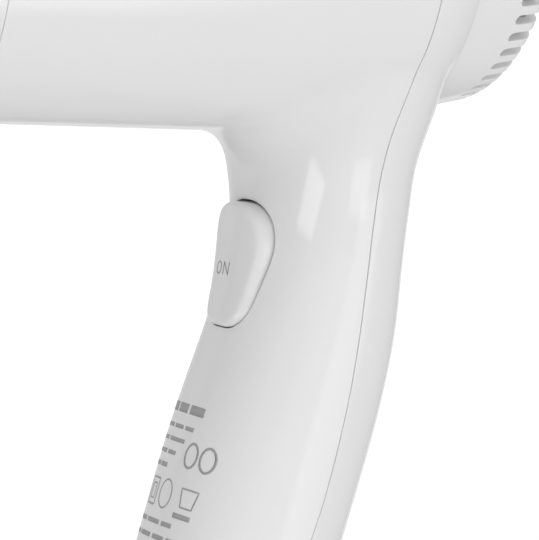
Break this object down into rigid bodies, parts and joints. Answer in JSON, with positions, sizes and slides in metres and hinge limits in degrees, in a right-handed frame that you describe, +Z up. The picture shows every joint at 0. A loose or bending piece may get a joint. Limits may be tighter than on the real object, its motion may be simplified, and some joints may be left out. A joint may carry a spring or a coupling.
{
  "type": "hair dryer handset",
  "caption": "Compact pistol-grip hair dryer handset with a press-to-run button on the handle, a slotted air intake at the back and a round nozzle in front.",
  "frame": {"origin": "centre of the nozzle's front face, on the barrel axis", "axes": "+X runs back along the barrel, +Z up with the handle hanging down, +Y to the user's right when the nozzle points away from them"},
  "size_m": [0.16, 0.0796, 0.1941],
  "materials": {
    "white_plastic": "gloss",
    "grey_plastic": "satin",
    "light_plastic": "satin",
    "mica": "satin",
    "resistance_wire": "satin",
    "dark_plastic": "satin",
    "steel": "brushed",
    "duct_plastic": "satin",
    "foam_rubber": "matte",
    "ferrite": "matte",
    "brass": "satin",
    "board_green": "satin",
    "copper_winding": "gloss",
    "soft_grey": "matte",
    "yellow_film": "satin",
    "lead_brown": "satin",
    "lead_blue": "satin",
    "lead_black": "satin"
  },
  "bodies": {
    "handset": {"front_shell": "white_plastic", "rear_shell": "white_plastic", "nozzle": "white_plastic", "intake_grille": "white_plastic", "outlet_grille": "grey_plastic", "filter_frame": "light_plastic", "filter_mesh": "light_plastic", "mica_sleeve": "mica", "heater_board_vertical": "mica", "heater_board_horizontal": "mica", "heater_ring": "mica", "heating_coil": "resistance_wire", "motor_supply_coil": "resistance_wire", "thermostat": "dark_plastic", "thermal_fuse": "steel", "fan_duct": "duct_plastic", "duct_gasket": "foam_rubber", "motor_can": "steel", "motor_magnets": "ferrite", "motor_end_cap": "duct_plastic", "carbon_brushes": "ferrite", "front_bushing": "brass", "rear_bushing": "brass", "motor_screws": "steel", "rectifier_board": "board_green", "rectifier_diodes": "dark_plastic", "button_spring": "steel", "switch_bracket": "grey_plastic", "bracket_screws": "steel", "microswitch": "dark_plastic", "switch_pins": "steel", "cord_gland": "soft_grey", "terminal_block": "light_plastic", "terminal_screws": "brass", "suppression_capacitor": "yellow_film", "lead_live": "lead_brown", "lead_neutral": "lead_blue", "lead_switched": "lead_black", "shell_screws": "steel"},
    "button": {"switch_button": "white_plastic"},
    "plunger": {"switch_plunger": "grey_plastic"},
    "rotor": {"motor_shaft": "steel", "armature": "copper_winding", "commutator": "brass", "impeller": "duct_plastic"}
  },
  "joints": [
    {"name": "button_press", "type": "hinge", "parent": "handset", "child": "button", "pos_m": [0.114, 0, -0.077], "axis": [0, 1, 0], "range_deg": [0, 4], "stiffness_Nm_per_rad": 0.3, "springref_deg": -1.72, "deforming": ["button_spring"]},
    {"name": "plunger_slide", "type": "slide", "parent": "handset", "child": "plunger", "axis": [1, 0, 0], "range_m": [0, 0.0016]},
    {"name": "fan_spin", "type": "hinge", "parent": "handset", "child": "rotor", "pos_m": [0.125, 0, 0], "axis": [1, 0, 0], "continuous": true}
  ],
  "couplings": [
    {"joint": "plunger_slide", "follows": "button_press", "m_per_rad": 0.021}
  ]
}
